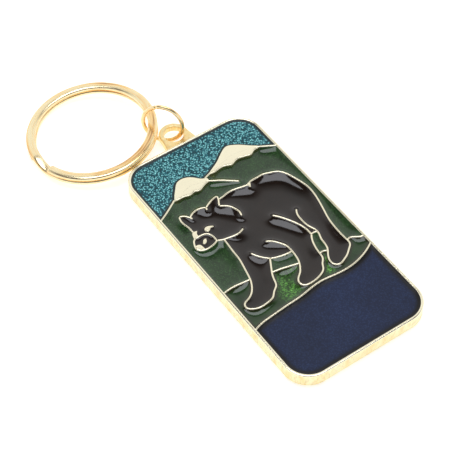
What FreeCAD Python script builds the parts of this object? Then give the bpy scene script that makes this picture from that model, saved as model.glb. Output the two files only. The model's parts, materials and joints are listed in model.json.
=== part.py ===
"""Enamelled keychain: a die-cast plate with a lug, eight enamel fills, a jump ring and a split ring.

Millimetres. The origin is the centre of the plate's flat back. +Z points out of the enamelled face and
+Y runs up the plate towards the lug. The picture on the plate is drawn by raised metal lines standing on
the recess floor. Each closed field between the lines is one pocket, and each pocket holds one enamel fill.
"""
import FreeCAD, Part
import math
import os

Vector = FreeCAD.Vector

# Plate
PLATE_WIDTH = 32.0
PLATE_LENGTH = 63.0
PLATE_THICKNESS = 3.3
RIM_WIDTH = 0.6
RECESS_CORNER_RADIUS = 4.8
RECESS_DEPTH = 1.6
ENAMEL_THICKNESS = 1.0
LINE_WIDTH = 0.45
RIM_EDGE_ROUNDING = 0.3
BACK_EDGE_ROUNDING = 0.45

# Lug: a flat cast eye on the plate's top edge
LUG_CENTRE_Y = 34.9
LUG_OUTER_RADIUS = 3.2
LUG_HOLE_RADIUS = 2.1
LUG_UNDERSIDE = 1.2
LUG_THICKNESS = 1.5
LUG_FOOT_HALF_WIDTH = 4.0
LUG_FOOT_DROP = 0.3
LUG_FOOT_INSET = 0.02
LUG_EDGE_ROUNDING = 0.35
LUG_ROUNDING_CLEARANCE = 0.5

# Jump ring: standing through the lug's hole and round the split ring
JUMP_WIRE_DIAMETER = 0.9
JUMP_MEAN_RADIUS = 4.3
JUMP_CENTRE = Vector(-1.32, 36.96, 4.8)
JUMP_AXIS_BEARING = 40.3
JUMP_AXIS_ELEVATION = -8.8
JUMP_GAP_ANGLE = 1.5
JUMP_GAP_TURN = 200.0

# Split ring: one flat-sided wire wound twice round, with a step from the upper turn to the lower
SPLIT_OUTER_RADIUS = 14.0
SPLIT_WIRE_WIDTH = 2.0
SPLIT_WIRE_HEIGHT = 1.05
SPLIT_WIRE_ROUNDING = 0.4
SPLIT_CENTRE_X = -13.7
SPLIT_CENTRE_Y = 45.4
SPLIT_TILT = 5.6
SPLIT_LOW_SIDE_BEARING = 144.0
SPLIT_STEP_BEARING = -176.0
SPLIT_STEP_ANGLE = 22.0
SPLIT_STEP_SECTIONS = 5
SPLIT_END_GAP_ANGLE = 1.0
TABLE_CLEARANCE = 0.02

RECESS_FLOOR = PLATE_THICKNESS - RECESS_DEPTH
POCKET_OVERRUN = 1.0
BORDER_POINTS_PER_SPAN = 4
SAME_PLACE = 1e-6

# Centre lines of the raised lines, as points on smooth curves. X runs across the plate and Y along it.
LINES = {
    # mountains and ground
    "left_mountain_flank": [(-15.7, 16.2), (-14.0, 17.05), (-12.0, 18.2), (-10.2, 19.3)],
    "open_mountain_ridge": [(-2.1, 19.9), (-0.9, 19.1), (0.3, 18.4), (1.9, 17.2), (3.5, 15.9)],
    "saddle_between_mountains": [(-2.4, 20.3), (-1.6, 20.65), (-0.4, 21.1), (0.6, 21.4)],
    "right_mountain_flank": [(11.2, 21.9), (12.4, 21.3), (14.0, 20.4), (15.7, 19.45)],
    "left_far_shore": [(-15.7, -5.75), (-13.5, -5.5), (-11.5, -5.65), (-9.4, -5.9)],
    "shore_between_front_legs": [(-4.95, -6.9), (-2.8, -7.25), (-0.8, -7.75), (0.85, -8.15)],
    "upper_shore_between_hind_legs": [(7.1, -3.7), (7.8, -3.6), (8.6, -3.85)],
    "lower_shore_between_hind_legs": [(5.6, -8.5), (6.5, -8.45), (7.35, -8.85)],
    "right_far_shore": [(12.1, -9.0), (12.8, -8.75), (13.8, -9.15), (14.7, -9.7), (15.7, -9.95)],
    "water_line": [
        (-15.7, -16.3), (-14.0, -15.75), (-11.0, -15.35), (-7.0, -15.0), (-3.5, -14.75),
        (-0.5, -14.25), (2.0, -14.1), (4.5, -14.35), (7.3, -14.55), (10.2, -14.25),
        (12.6, -13.55), (14.2, -12.85), (15.7, -12.0)
    ],
    # bear: head
    "left_ear_outer": [(-11.9, 10.1), (-11.95, 11.8), (-12.25, 13.2), (-12.2, 14.2), (-11.95, 15.05)],
    "left_ear_inner": [(-11.95, 15.05), (-11.2, 14.75), (-10.5, 14.05), (-9.95, 13.1)],
    "brow": [(-10.2, 13.7), (-9.3, 14.25), (-7.9, 14.55), (-6.8, 14.35), (-6.1, 14.0)],
    "right_ear_notch": [(-6.1, 14.05), (-6.2, 13.7), (-6.35, 13.3)],
    "right_ear_top": [(-6.1, 14.0), (-5.2, 14.5), (-4.1, 14.95), (-2.6, 15.3)],
    "right_ear_back": [(-2.6, 15.3), (-2.8, 14.4), (-3.25, 13.6), (-3.65, 12.8)],
    "neck": [
        (-3.65, 12.8), (-2.7, 12.2), (-1.9, 11.4), (-1.4, 10.3), (-1.2, 9.2), (-1.45, 8.15)
    ],
    "muzzle_bridge": [
        (-9.2, 5.6), (-9.2, 7.2), (-9.7, 8.2), (-10.7, 8.6), (-11.9, 8.6), (-12.7, 8.45),
        (-13.35, 7.6), (-13.72, 6.6)
    ],
    "chin": [
        (-13.72, 6.8), (-13.6, 6.0), (-13.1, 5.45), (-12.2, 5.15), (-10.8, 5.2), (-9.8, 5.45),
        (-9.0, 5.85)
    ],
    "cheek": [(-9.2, 5.8), (-8.3, 5.35), (-7.3, 5.1), (-5.8, 4.85), (-4.5, 4.8), (-3.1, 5.3)],
    # bear: back and rump
    "shoulder": [(-2.8, 14.3), (-1.6, 14.45), (0.0, 14.75), (1.6, 14.65), (3.0, 14.35), (4.4, 14.1)],
    "back": [
        (4.3, 14.2), (5.3, 14.55), (7.0, 14.65), (8.7, 14.65), (10.0, 14.2), (11.3, 13.65),
        (12.4, 12.5), (13.1, 10.8), (13.7, 8.8), (14.1, 6.8), (14.05, 4.6), (13.6, 2.2),
        (13.0, -0.2), (12.4, -2.6), (12.12, -5.2), (12.08, -7.4), (12.15, -9.1)
    ],
    # bear: legs
    "chest_and_front_foot": [
        (-7.85, 5.2), (-7.95, 3.6), (-8.12, 1.4), (-8.2, -0.4), (-8.6, -2.6), (-9.0, -4.4),
        (-9.45, -6.1), (-10.2, -7.6), (-11.2, -8.8), (-12.6, -9.6), (-13.7, -10.15), (-13.9, -11.1),
        (-13.1, -11.95), (-11.6, -12.45), (-9.9, -12.35), (-8.3, -11.9), (-7.2, -10.85), (-6.1, -9.95),
        (-5.65, -8.8), (-5.15, -7.4), (-4.5, -6.2), (-3.75, -4.9), (-3.2, -3.95)
    ],
    "front_leg_inner": [(-5.55, -0.7), (-4.95, -1.85), (-4.1, -3.0), (-3.1, -4.0)],
    "belly": [(-3.2, -3.95), (-2.0, -4.4), (-0.6, -4.75), (0.5, -4.9), (1.5, -4.9)],
    "second_leg_front": [
        (-1.45, 0.05), (-0.5, -0.5), (0.5, -1.65), (1.25, -2.9), (1.5, -4.4), (1.4, -6.0),
        (1.05, -7.7), (0.4, -9.0), (-0.5, -10.15), (-1.6, -11.1), (-2.0, -12.1), (-1.6, -12.95),
        (-0.4, -13.3), (1.4, -13.15), (2.9, -12.65), (3.9, -11.9), (4.5, -10.85), (5.35, -9.8),
        (5.6, -8.6), (5.8, -7.1), (6.15, -5.7), (6.6, -4.6), (7.15, -3.7)
    ],
    "hind_leg_front": [
        (3.65, 4.7), (4.5, 3.7), (5.4, 2.3), (6.2, 0.8), (6.8, -0.6), (7.15, -2.1), (7.15, -3.8)
    ],
    "hind_leg_inner": [
        (8.6, 3.25), (8.05, 2.3), (7.8, 1.0), (7.8, -0.4), (8.05, -1.8), (8.5, -3.0), (8.55, -4.2),
        (8.1, -5.7), (7.9, -7.3), (7.55, -8.5), (6.75, -9.7), (6.2, -10.9), (6.25, -12.1), (7.1, -12.8),
        (8.5, -12.5), (9.9, -11.8), (11.1, -10.85), (12.0, -9.95), (12.15, -8.9)
    ],
}

# Solid metal areas. Each outline is a run of smooth curves, one list for each, joined at their ends.
AREAS = {
    "left_snow_cap": [
        [(-10.5, 18.95), (-9.6, 20.35), (-8.5, 21.7), (-7.3, 22.9), (-5.9, 23.2), (-4.6, 22.85),
         (-3.4, 21.9), (-2.4, 20.9), (-1.6, 20.6)],
        [(-1.6, 20.6), (-1.35, 20.1), (-1.6, 19.4)],
        [(-1.6, 19.4), (-2.6, 19.15), (-3.6, 18.75), (-4.7, 18.4), (-5.7, 18.7), (-6.8, 18.45),
         (-8.0, 18.75), (-9.2, 18.8), (-10.5, 18.95)],
    ],
    "right_snow_cap": [
        [(-0.6, 21.2), (1.0, 22.05), (2.7, 22.95), (4.3, 24.1), (5.6, 24.95), (6.8, 25.35), (8.0, 24.95),
         (9.5, 24.0), (10.9, 22.8), (12.3, 21.75)],
        [(12.3, 21.75), (12.2, 21.2), (11.4, 21.1), (10.5, 20.8), (9.6, 20.4), (8.7, 20.6), (7.8, 20.85),
         (6.8, 21.0), (5.8, 20.75), (4.8, 20.4), (3.8, 20.75), (2.5, 21.0), (1.0, 20.75), (-0.6, 20.9)],
        [(-0.6, 20.9), (-0.7, 21.05), (-0.6, 21.2)],
    ],
    "near_eye": [
        [(-9.75, 9.15), (-9.5, 9.65), (-8.9, 9.85), (-8.2, 9.65), (-7.7, 9.35)],
        [(-7.7, 9.35), (-7.6, 9.15), (-7.75, 8.98)],
        [(-7.75, 8.98), (-8.4, 9.05), (-9.05, 8.6), (-9.5, 8.75), (-9.75, 9.15)],
    ],
    "far_eye": [
        [(-12.75, 8.5), (-12.5, 9.4), (-12.0, 10.2), (-11.2, 10.12)],
        [(-11.2, 10.12), (-11.0, 10.0), (-11.15, 9.8)],
        [(-11.15, 9.8), (-11.45, 9.3), (-11.35, 8.5)],
        [(-11.35, 8.5), (-12.05, 8.35), (-12.75, 8.5)],
    ],
    "nose": [
        [(-13.7, 6.9), (-13.1, 7.05), (-12.5, 6.8), (-12.25, 6.0), (-12.2, 5.1)],
        [(-12.2, 5.1), (-13.2, 5.4), (-13.7, 6.2), (-13.7, 6.9)],
    ],
    "nostril_dot": [
        [(-11.95, 6.55), (-11.6, 7.1), (-11.0, 7.5), (-10.6, 7.35)],
        [(-10.6, 7.35), (-10.85, 6.85), (-11.4, 6.4), (-11.95, 6.55)],
    ],
    "hump_spur": [
        [(3.95, 14.3), (4.15, 13.9), (4.35, 13.3)],
        [(4.35, 13.3), (4.6, 13.35), (4.7, 13.65)],
        [(4.7, 13.65), (4.95, 14.0), (5.0, 14.5)],
        [(5.0, 14.5), (4.5, 14.3), (3.95, 14.3)],
    ],
}

# One point inside each pocket names its fill.
FILLS = {
    "sky_enamel": (0.0, 28.0),
    "hill_enamel": (8.0, 17.5),
    "belly_gap_enamel": (-1.0, -6.2),
    "hind_gap_enamel": (7.0, -6.2),
    "meadow_enamel": (-4.5, -11.5),
    "bear_enamel": (3.0, 8.0),
    "muzzle_enamel": (-10.0, 6.3),
    "lake_enamel": (0.0, -22.0),
}


def point(xy, z=0.0):
    """A point of the plate's plan at height z."""
    return Vector(xy[0], xy[1], z)


def smooth_edge(points):
    """One smooth curve through the given plan points."""
    curve = Part.BSplineCurve()
    curve.interpolate([point(xy) for xy in points])
    return curve


def line_face(points):
    """A raised line's plan: the band LINE_WIDTH wide along its centre line, with blunt ends."""
    centre = smooth_edge(points)
    first, last = centre.FirstParameter, centre.LastParameter
    steps = BORDER_POINTS_PER_SPAN * (len(points) - 1)
    sides = ([], [])
    for step in range(steps + 1):
        at = first + (last - first) * step / steps
        along = centre.tangent(at)[0]
        across = Vector(-along.y, along.x, 0) * (LINE_WIDTH / 2)
        sides[0].append(centre.value(at) + across)
        sides[1].append(centre.value(at) - across)
    edges = []
    for side in sides:
        border = Part.BSplineCurve()
        border.interpolate(side)
        edges.append(border.toShape())
    start = Part.makeLine(sides[1][0], sides[0][0])
    end = Part.makeLine(sides[0][-1], sides[1][-1])
    return Part.Face(Part.Wire(Part.__sortEdges__([start, edges[0], end, edges[1]])))


def area_face(outline):
    """A solid area's plan, bounded by the smooth curves of its outline."""
    edges = [smooth_edge(run).toShape() for run in outline]
    return Part.Face(Part.Wire(Part.__sortEdges__(edges)))


def rounded_rectangle(width, length, radius, z=0.0):
    """A rounded rectangle centred on the plate, at height z."""
    x, y = width / 2, length / 2
    corners = [(x - radius, y - radius, 0), (radius - x, y - radius, 90),
               (radius - x, radius - y, 180), (x - radius, radius - y, 270)]
    edges = []
    ends = []
    for cx, cy, start in corners:
        spots = []
        for turn in (0, 45, 90):
            angle = math.radians(start + turn)
            spots.append(Vector(cx + radius * math.cos(angle), cy + radius * math.sin(angle), z))
        edges.append(Part.Arc(*spots).toShape())
        ends.append((spots[0], spots[2]))
    for index in range(4):
        edges.append(Part.makeLine(ends[index][1], ends[(index + 1) % 4][0]))
    return Part.Face(Part.Wire(Part.__sortEdges__(edges)))


def pocket_plans():
    """The closed fields that the raised lines and solid areas leave in the recess, by fill name."""
    width = PLATE_WIDTH - 2 * RIM_WIDTH
    length = PLATE_LENGTH - 2 * RIM_WIDTH
    recess = rounded_rectangle(width, length, RECESS_CORNER_RADIUS)
    metal = [line_face(points) for points in LINES.values()]
    metal += [area_face(outline) for outline in AREAS.values()]
    fields = recess.cut(metal).Faces
    plans = {}
    for name, inside in FILLS.items():
        spot = Part.Vertex(point(inside))
        held = [field for field in fields if field.distToShape(spot)[0] < SAME_PLACE]
        if len(held) != 1:
            raise ValueError(f"{name}: {len(held)} fields hold its point")
        plans[name] = held[0]
    if len(fields) != len(FILLS):
        raise ValueError(f"{len(fields)} fields for {len(FILLS)} fills")
    return plans


def raised(plan, low, high):
    """The prism over a plan from height low to height high."""
    base = plan.copy()
    base.translate(Vector(0, 0, low))
    return base.extrude(Vector(0, 0, high - low))


def edges_at(shape, z):
    """The edges of a shape that lie wholly at height z."""
    return [edge for edge in shape.Edges
            if abs(edge.BoundBox.ZMin - z) < SAME_PLACE
            and abs(edge.BoundBox.ZMax - z) < SAME_PLACE]


def lug():
    """The cast eye: a disc on a flared foot with a round hole, its outer edges rounded."""
    disc = Part.Face(Part.Wire(Part.makeCircle(LUG_OUTER_RADIUS, Vector(0, LUG_CENTRE_Y, 0))))
    edge_y = PLATE_LENGTH / 2
    root_y = edge_y - RIM_WIDTH
    neck_x = LUG_OUTER_RADIUS - LUG_FOOT_INSET
    neck_y = LUG_CENTRE_Y - LUG_FOOT_DROP
    foot_points = [(-LUG_FOOT_HALF_WIDTH, root_y), (LUG_FOOT_HALF_WIDTH, root_y),
                   (LUG_FOOT_HALF_WIDTH, edge_y), (neck_x, neck_y),
                   (-neck_x, neck_y), (-LUG_FOOT_HALF_WIDTH, edge_y)]
    corners = [point(xy) for xy in foot_points]
    foot = Part.Face(Part.makePolygon(corners + corners[:1]))
    hole = Part.Face(Part.Wire(Part.makeCircle(LUG_HOLE_RADIUS, Vector(0, LUG_CENTRE_Y, 0))))
    plan = disc.fuse(foot).removeSplitter().cut(hole).Faces[0]
    body = raised(plan, LUG_UNDERSIDE, LUG_UNDERSIDE + LUG_THICKNESS)
    rims = edges_at(body, LUG_UNDERSIDE) + edges_at(body, LUG_UNDERSIDE + LUG_THICKNESS)
    rims = [edge for edge in rims if edge.BoundBox.YMax > edge_y + LUG_ROUNDING_CLEARANCE]
    return body.makeFillet(LUG_EDGE_ROUNDING, rims)


def cast_plate(plans):
    """The casting: the rounded slab with its lug, less the pockets, so that rim and lines stand up."""
    outer_radius = RECESS_CORNER_RADIUS + RIM_WIDTH
    slab = raised(rounded_rectangle(PLATE_WIDTH, PLATE_LENGTH, outer_radius), 0, PLATE_THICKNESS)
    slab = slab.makeFillet(RIM_EDGE_ROUNDING, edges_at(slab, PLATE_THICKNESS))
    slab = slab.makeFillet(BACK_EDGE_ROUNDING, edges_at(slab, 0))
    casting = slab.fuse(lug())
    top = PLATE_THICKNESS + POCKET_OVERRUN
    pockets = [raised(plan, RECESS_FLOOR, top) for plan in plans.values()]
    return casting.cut(pockets)


def jump_axis():
    """The direction of the jump ring's axis."""
    bearing = math.radians(JUMP_AXIS_BEARING)
    elevation = math.radians(JUMP_AXIS_ELEVATION)
    return Vector(math.cos(elevation) * math.cos(bearing),
                  math.cos(elevation) * math.sin(bearing), math.sin(elevation))


def jump_ring():
    """Round wire bent into a circle, with a closed butt gap low on the split ring's side."""
    middle = Vector(0, 0, 0)
    upright = Vector(0, 0, 1)
    ring = Part.makeTorus(JUMP_MEAN_RADIUS, JUMP_WIRE_DIAMETER / 2, middle, upright,
                          -180, 180, 360 - JUMP_GAP_ANGLE)
    ring.rotate(middle, upright, JUMP_GAP_TURN)
    standing = FreeCAD.Placement(JUMP_CENTRE, FreeCAD.Rotation(upright, jump_axis()))
    ring.Placement = standing * ring.Placement
    return ring


def wire_section(radius, bearing, height):
    """The split ring's wire section: a rounded rectangle standing on the given bearing and height."""
    side = SPLIT_WIRE_WIDTH / 2
    top = SPLIT_WIRE_HEIGHT / 2
    flat_side = side - SPLIT_WIRE_ROUNDING
    flat_top = top - SPLIT_WIRE_ROUNDING
    inset = SPLIT_WIRE_ROUNDING * (1 - math.sqrt(0.5))
    angle = math.radians(bearing)

    def place(across, up):
        reach = radius + across
        return Vector(reach * math.cos(angle), reach * math.sin(angle), height + up)

    edges = []
    for sx, sz in ((1, 1), (-1, 1), (-1, -1), (1, -1)):
        low = place(sx * side, sz * flat_top)
        middle = place(sx * (side - inset), sz * (top - inset))
        high = place(sx * flat_side, sz * top)
        edges.append(Part.Arc(low, middle, high).toShape())
    edges.append(Part.makeLine(place(flat_side, top), place(-flat_side, top)))
    edges.append(Part.makeLine(place(-side, flat_top), place(-side, -flat_top)))
    edges.append(Part.makeLine(place(-flat_side, -top), place(flat_side, -top)))
    edges.append(Part.makeLine(place(side, -flat_top), place(side, flat_top)))
    return Part.Wire(Part.__sortEdges__(edges))


def split_ring():
    """Two turns of flat-sided wire, one on the other, joined by a sloping step beside their cut ends."""
    middle = Vector(0, 0, 0)
    upright = Vector(0, 0, 1)
    mean = SPLIT_OUTER_RADIUS - SPLIT_WIRE_WIDTH / 2
    rise = SPLIT_WIRE_HEIGHT / 2
    step_start = SPLIT_STEP_BEARING - SPLIT_STEP_ANGLE / 2
    step_end = SPLIT_STEP_BEARING + SPLIT_STEP_ANGLE / 2
    sweep = 360 - SPLIT_STEP_ANGLE - SPLIT_END_GAP_ANGLE
    upper = Part.Face(wire_section(mean, step_end + SPLIT_END_GAP_ANGLE, rise))
    upper = upper.revolve(middle, upright, sweep)
    lower = Part.Face(wire_section(mean, step_end, -rise))
    lower = lower.revolve(middle, upright, sweep)
    sections = []
    for index in range(SPLIT_STEP_SECTIONS):
        along = index / (SPLIT_STEP_SECTIONS - 1)
        height = rise * math.cos(math.pi * along)
        sections.append(wire_section(mean, step_start + SPLIT_STEP_ANGLE * along, height))
    step = Part.makeLoft(sections, True, True)
    ring = upper.fuse([lower, step]).removeSplitter()
    low = math.radians(SPLIT_LOW_SIDE_BEARING)
    tilt_axis = Vector(-math.sin(low), math.cos(low), 0)
    tilt = math.radians(SPLIT_TILT)
    drop = SPLIT_OUTER_RADIUS * math.sin(tilt) + SPLIT_WIRE_HEIGHT * math.cos(tilt)
    ring.rotate(middle, tilt_axis, SPLIT_TILT)
    ring.translate(Vector(SPLIT_CENTRE_X, SPLIT_CENTRE_Y, drop + TABLE_CLEARANCE))
    return ring


def build():
    """Every node of the keychain, by name."""
    plans = pocket_plans()
    nodes = {"cast_plate": cast_plate(plans)}
    for name, plan in plans.items():
        nodes[name] = raised(plan, RECESS_FLOOR, RECESS_FLOOR + ENAMEL_THICKNESS)
    nodes["jump_ring"] = jump_ring()
    nodes["split_ring"] = split_ring()
    return nodes


os.makedirs("parts", exist_ok=True)
for node, shape in build().items():
    solids = shape.Solids
    if len(solids) != 1 or not shape.isValid():
        raise ValueError(f"{node}: {len(solids)} solids, valid {shape.isValid()}")
    solids[0].exportStep(f"parts/{node}.step")
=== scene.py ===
"""Looks of an enamelled keychain: its plated casting, its dished enamel fills and its two rings.

Metres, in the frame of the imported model: +Z out of the enamelled face, +Y up the plate towards the lug.
Every new piece is a surface worked out as whole arrays: a profile carried along a path, or a height over a
grid.
"""

import json
import math

import bpy
import numpy as np
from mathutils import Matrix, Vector


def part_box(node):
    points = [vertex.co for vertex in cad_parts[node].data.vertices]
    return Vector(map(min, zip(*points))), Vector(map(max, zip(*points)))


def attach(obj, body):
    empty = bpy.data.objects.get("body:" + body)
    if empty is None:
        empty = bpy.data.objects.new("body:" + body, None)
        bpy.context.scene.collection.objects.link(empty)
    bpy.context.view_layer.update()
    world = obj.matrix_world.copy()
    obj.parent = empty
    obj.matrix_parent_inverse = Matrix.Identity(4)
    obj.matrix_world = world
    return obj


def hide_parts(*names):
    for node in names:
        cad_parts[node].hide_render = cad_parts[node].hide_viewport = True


bl_info = {
    "name": "Enamelled Keychain",
    "version": (1, 0, 0),
    "blender": (4, 5, 0),
    "location": "View3D > Sidebar > Keychain",
    "description": "Makes the casting, enamel fills and rings of a keychain round its packed frame",
    "category": "Object",
}

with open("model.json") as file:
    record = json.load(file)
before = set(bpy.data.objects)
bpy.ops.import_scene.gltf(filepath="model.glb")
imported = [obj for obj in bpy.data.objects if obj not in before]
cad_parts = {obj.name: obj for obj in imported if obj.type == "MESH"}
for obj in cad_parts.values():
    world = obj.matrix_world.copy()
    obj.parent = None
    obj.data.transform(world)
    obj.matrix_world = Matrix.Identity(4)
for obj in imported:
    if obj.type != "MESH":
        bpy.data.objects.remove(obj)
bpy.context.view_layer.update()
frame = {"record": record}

MM = 0.001
PLATE_LOW, PLATE_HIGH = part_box("cast_plate")
FILL_LOW, FILL_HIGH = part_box("lake_enamel")
JUMP_LOW, JUMP_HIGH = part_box("jump_ring")
RING_MOUNT = [m for m in frame["record"]["mounts"] if m["name"] == "key_ring_loop"][0]

HALF_WIDTH = PLATE_HIGH.x
HALF_LENGTH = -PLATE_LOW.y
TOP = PLATE_HIGH.z
RECESS_FLOOR = FILL_LOW.z
RECESS_HALF_WIDTH = FILL_HIGH.x
RECESS_HALF_LENGTH = -FILL_LOW.y
RIM_WIDTH = HALF_WIDTH - RECESS_HALF_WIDTH

# The stage's floor stands this far below the plate's back. In one plane, each would show through the other.
FLOOR_CLEARANCE = 0.02 * MM

# Centre lines of the raised lines, in millimetres: points on smooth curves across the plate's face.
LINES = {
    # mountains and ground
    "left_mountain_flank": [(-15.7, 16.2), (-14.0, 17.05), (-12.0, 18.2), (-10.2, 19.3)],
    "open_mountain_ridge": [(-2.1, 19.9), (-0.9, 19.1), (0.3, 18.4), (1.9, 17.2), (3.5, 15.9)],
    "saddle_between_mountains": [(-2.4, 20.3), (-1.6, 20.65), (-0.4, 21.1), (0.6, 21.4)],
    "right_mountain_flank": [(11.2, 21.9), (12.4, 21.3), (14.0, 20.4), (15.7, 19.45)],
    "left_far_shore": [(-15.7, -5.75), (-13.5, -5.5), (-11.5, -5.65), (-9.4, -5.9)],
    "shore_between_front_legs": [(-4.95, -6.9), (-2.8, -7.25), (-0.8, -7.75), (0.85, -8.15)],
    "upper_shore_between_hind_legs": [(7.1, -3.7), (7.8, -3.6), (8.6, -3.85)],
    "lower_shore_between_hind_legs": [(5.6, -8.5), (6.5, -8.45), (7.35, -8.85)],
    "right_far_shore": [(12.1, -9.0), (12.8, -8.75), (13.8, -9.15), (14.7, -9.7), (15.7, -9.95)],
    "water_line": [
        (-15.7, -16.3), (-14.0, -15.75), (-11.0, -15.35), (-7.0, -15.0), (-3.5, -14.75),
        (-0.5, -14.25), (2.0, -14.1), (4.5, -14.35), (7.3, -14.55), (10.2, -14.25),
        (12.6, -13.55), (14.2, -12.85), (15.7, -12.0)
    ],
    # bear: head
    "left_ear_outer": [(-11.9, 10.1), (-11.95, 11.8), (-12.25, 13.2), (-12.2, 14.2), (-11.95, 15.05)],
    "left_ear_inner": [(-11.95, 15.05), (-11.2, 14.75), (-10.5, 14.05), (-9.95, 13.1)],
    "brow": [(-10.2, 13.7), (-9.3, 14.25), (-7.9, 14.55), (-6.8, 14.35), (-6.1, 14.0)],
    "right_ear_notch": [(-6.1, 14.05), (-6.2, 13.7), (-6.35, 13.3)],
    "right_ear_top": [(-6.1, 14.0), (-5.2, 14.5), (-4.1, 14.95), (-2.6, 15.3)],
    "right_ear_back": [(-2.6, 15.3), (-2.8, 14.4), (-3.25, 13.6), (-3.65, 12.8)],
    "neck": [
        (-3.65, 12.8), (-2.7, 12.2), (-1.9, 11.4), (-1.4, 10.3), (-1.2, 9.2), (-1.45, 8.15)
    ],
    "muzzle_bridge": [
        (-9.2, 5.6), (-9.2, 7.2), (-9.7, 8.2), (-10.7, 8.6), (-11.9, 8.6), (-12.7, 8.45),
        (-13.35, 7.6), (-13.72, 6.6)
    ],
    "chin": [
        (-13.72, 6.8), (-13.6, 6.0), (-13.1, 5.45), (-12.2, 5.15), (-10.8, 5.2), (-9.8, 5.45),
        (-9.0, 5.85)
    ],
    "cheek": [(-9.2, 5.8), (-8.3, 5.35), (-7.3, 5.1), (-5.8, 4.85), (-4.5, 4.8), (-3.1, 5.3)],
    # bear: back and rump
    "shoulder": [(-2.8, 14.3), (-1.6, 14.45), (0.0, 14.75), (1.6, 14.65), (3.0, 14.35), (4.4, 14.1)],
    "back": [
        (4.3, 14.2), (5.3, 14.55), (7.0, 14.65), (8.7, 14.65), (10.0, 14.2), (11.3, 13.65),
        (12.4, 12.5), (13.1, 10.8), (13.7, 8.8), (14.1, 6.8), (14.05, 4.6), (13.6, 2.2),
        (13.0, -0.2), (12.4, -2.6), (12.12, -5.2), (12.08, -7.4), (12.15, -9.1)
    ],
    # bear: legs
    "chest_and_front_foot": [
        (-7.85, 5.2), (-7.95, 3.6), (-8.12, 1.4), (-8.2, -0.4), (-8.6, -2.6), (-9.0, -4.4),
        (-9.45, -6.1), (-10.2, -7.6), (-11.2, -8.8), (-12.6, -9.6), (-13.7, -10.15), (-13.9, -11.1),
        (-13.1, -11.95), (-11.6, -12.45), (-9.9, -12.35), (-8.3, -11.9), (-7.2, -10.85), (-6.1, -9.95),
        (-5.65, -8.8), (-5.15, -7.4), (-4.5, -6.2), (-3.75, -4.9), (-3.2, -3.95)
    ],
    "front_leg_inner": [(-5.55, -0.7), (-4.95, -1.85), (-4.1, -3.0), (-3.1, -4.0)],
    "belly": [(-3.2, -3.95), (-2.0, -4.4), (-0.6, -4.75), (0.5, -4.9), (1.5, -4.9)],
    "second_leg_front": [
        (-1.45, 0.05), (-0.5, -0.5), (0.5, -1.65), (1.25, -2.9), (1.5, -4.4), (1.4, -6.0),
        (1.05, -7.7), (0.4, -9.0), (-0.5, -10.15), (-1.6, -11.1), (-2.0, -12.1), (-1.6, -12.95),
        (-0.4, -13.3), (1.4, -13.15), (2.9, -12.65), (3.9, -11.9), (4.5, -10.85), (5.35, -9.8),
        (5.6, -8.6), (5.8, -7.1), (6.15, -5.7), (6.6, -4.6), (7.15, -3.7)
    ],
    "hind_leg_front": [
        (3.65, 4.7), (4.5, 3.7), (5.4, 2.3), (6.2, 0.8), (6.8, -0.6), (7.15, -2.1), (7.15, -3.8)
    ],
    "hind_leg_inner": [
        (8.6, 3.25), (8.05, 2.3), (7.8, 1.0), (7.8, -0.4), (8.05, -1.8), (8.5, -3.0), (8.55, -4.2),
        (8.1, -5.7), (7.9, -7.3), (7.55, -8.5), (6.75, -9.7), (6.2, -10.9), (6.25, -12.1), (7.1, -12.8),
        (8.5, -12.5), (9.9, -11.8), (11.1, -10.85), (12.0, -9.95), (12.15, -8.9)
    ],
}

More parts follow.
